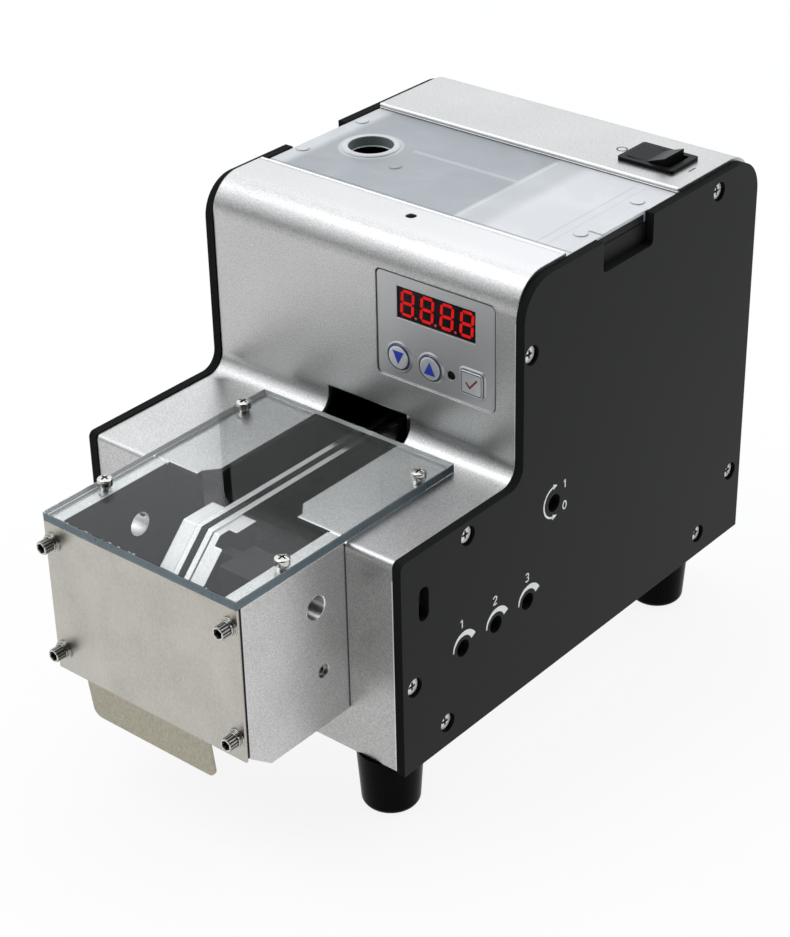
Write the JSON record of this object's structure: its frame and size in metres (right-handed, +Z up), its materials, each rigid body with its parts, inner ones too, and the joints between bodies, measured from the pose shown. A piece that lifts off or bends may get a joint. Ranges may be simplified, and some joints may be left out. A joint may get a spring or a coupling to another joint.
{
  "type": "screw counting machine",
  "caption": "Bench screw feeder with lidded hopper, shaking rail, digital counter with buttons and a clear-topped counting box.",
  "frame": {"origin": "middle of the overall width and depth, on the floor under the feet", "axes": "+X to the machine's right, +Y to its rear, +Z up"},
  "size_m": [0.123, 0.225, 0.1601],
  "materials": {
    "blasted_aluminium": "fine sand-blasted, satin",
    "black_panel": "satin black with rounded edges",
    "stainless": "plain stainless sheet, faintly mottled",
    "machined_steel": "machined",
    "polished_steel": "ground bright",
    "bright_screw": "bright nickel plate",
    "black_rubber": "moulded rubber, slight sheen",
    "clear_acrylic": "clear, polished",
    "frosted_lid": "frosted milky plastic",
    "black_plastic": "moulded black",
    "grey_plastic": "moulded grey",
    "switch_plastic": "glossy black",
    "display_dark": "dark tinted face",
    "button_silver": "satin silver",
    "circuit_board": "green solder mask",
    "trimmer_blue": "moulded blue",
    "trimmer_white": "moulded off-white",
    "coil_copper": "wound enamelled wire",
    "brush_fibre": "dark bristles",
    "black_seal": "foam strip"
  },
  "bodies": {
    "housing": {"base_plate": "blasted_aluminium", "front_cover": "blasted_aluminium", "rear_cover": "blasted_aluminium", "side_panel_left": "black_panel", "side_panel_right": "black_panel", "panel_screws": "bright_screw", "foot_front_left": "black_rubber", "foot_front_right": "black_rubber", "foot_rear_left": "black_rubber", "foot_rear_right": "black_rubber", "foot_screws": "bright_screw", "hopper_rim": "black_plastic", "hopper_bin": "polished_steel", "drive_cover": "grey_plastic", "lifter_guides": "machined_steel", "rail_posts": "machined_steel", "rail_mounts": "black_rubber", "vibrator_coil": "coil_copper", "lift_motor": "machined_steel", "motor_bracket": "stainless", "roller_motor": "machined_steel", "roller_bracket": "stainless", "gate_bracket": "stainless", "control_board": "circuit_board", "trim_pot_bodies": "trimmer_blue", "display_overlay": "blasted_aluminium", "display_board": "circuit_board", "led_display": "display_dark", "tact_switches": "black_plastic", "status_led": "display_dark", "switch_housing": "switch_plastic", "dc_jack": "black_plastic", "box_wall_left": "blasted_aluminium", "box_wall_right": "blasted_aluminium", "box_wall_screws": "bright_screw", "channel_liner": "black_plastic", "discharge_chute": "stainless", "front_gasket": "black_seal", "front_plate": "stainless", "front_plate_screws": "bright_screw", "front_plate_washers": "bright_screw", "top_window": "clear_acrylic", "top_window_screws": "bright_screw", "count_sensor": "black_plastic"},
    "lid": {"lid": "frosted_lid"},
    "power_rocker": {"power_rocker": "switch_plastic"},
    "button_down": {"button_down": "button_silver"},
    "button_up": {"button_up": "button_silver"},
    "button_set": {"button_set": "button_silver"},
    "trim_rotor_1": {"trim_rotor_1": "trimmer_white"},
    "trim_rotor_2": {"trim_rotor_2": "trimmer_white"},
    "trim_rotor_3": {"trim_rotor_3": "trimmer_white"},
    "lock_gate": {"lock_gate": "machined_steel"},
    "lifter": {"lifter": "polished_steel"},
    "crank": {"crank_disc": "machined_steel"},
    "brush_roller": {"brush_roller": "brush_fibre"},
    "rail": {"feed_rails": "polished_steel", "track_block_left": "machined_steel", "track_block_right": "machined_steel", "rail_carrier": "machined_steel"}
  },
  "joints": [
    {"name": "lid_lift", "type": "slide", "parent": "housing", "child": "lid", "axis": [0, 0, 1], "range_m": [0, 0.06]},
    {"name": "power_tilt", "type": "hinge", "parent": "housing", "child": "power_rocker", "pos_m": [0.0409, 0.08665, 0.1535], "axis": [0, 1, 0], "range_deg": [0, 18]},
    {"name": "press_down", "type": "slide", "parent": "housing", "child": "button_down", "axis": [0, 1, 0], "range_m": [0, 0.0005], "stiffness_N_per_m": 400},
    {"name": "press_up", "type": "slide", "parent": "housing", "child": "button_up", "axis": [0, 1, 0], "range_m": [0, 0.0005], "stiffness_N_per_m": 400},
    {"name": "press_set", "type": "slide", "parent": "housing", "child": "button_set", "axis": [0, 1, 0], "range_m": [0, 0.0005], "stiffness_N_per_m": 400},
    {"name": "trim_turn_1", "type": "hinge", "parent": "housing", "child": "trim_rotor_1", "pos_m": [0.056, -0.03705, 0.0505], "axis": [1, 0, 0], "range_deg": [-135, 135]},
    {"name": "trim_turn_2", "type": "hinge", "parent": "housing", "child": "trim_rotor_2", "pos_m": [0.056, -0.02145, 0.0505], "axis": [1, 0, 0], "range_deg": [-135, 135]},
    {"name": "trim_turn_3", "type": "hinge", "parent": "housing", "child": "trim_rotor_3", "pos_m": [0.056, -0.00585, 0.0505], "axis": [1, 0, 0], "range_deg": [-135, 135]},
    {"name": "gate_swing", "type": "hinge", "parent": "housing", "child": "lock_gate", "pos_m": [0.02, 0.00675, 0.0789], "axis": [1, 0, 0], "range_deg": [0, 40]},
    {"name": "crank_turn", "type": "hinge", "parent": "housing", "child": "crank", "pos_m": [0, 0.04505, 0.0499], "axis": [1, 0, 0], "range_deg": [-60, 60]},
    {"name": "lifter_slide", "type": "slide", "parent": "housing", "child": "lifter", "axis": [0, 0, 1], "range_m": [-0.00806, 0.00806]},
    {"name": "roller_spin", "type": "hinge", "parent": "housing", "child": "brush_roller", "pos_m": [0, 0.01905, 0.0981], "axis": [1, 0, 0], "continuous": true},
    {"name": "rail_shake", "type": "slide", "parent": "housing", "child": "rail", "axis": [0, 1, 0], "range_m": [-0.0004, 0.0004], "stiffness_N_per_m": 8000}
  ],
  "couplings": [
    {"joint": "crank_turn", "follows": "lifter_slide", "rad_per_m": 129.87}
  ]
}
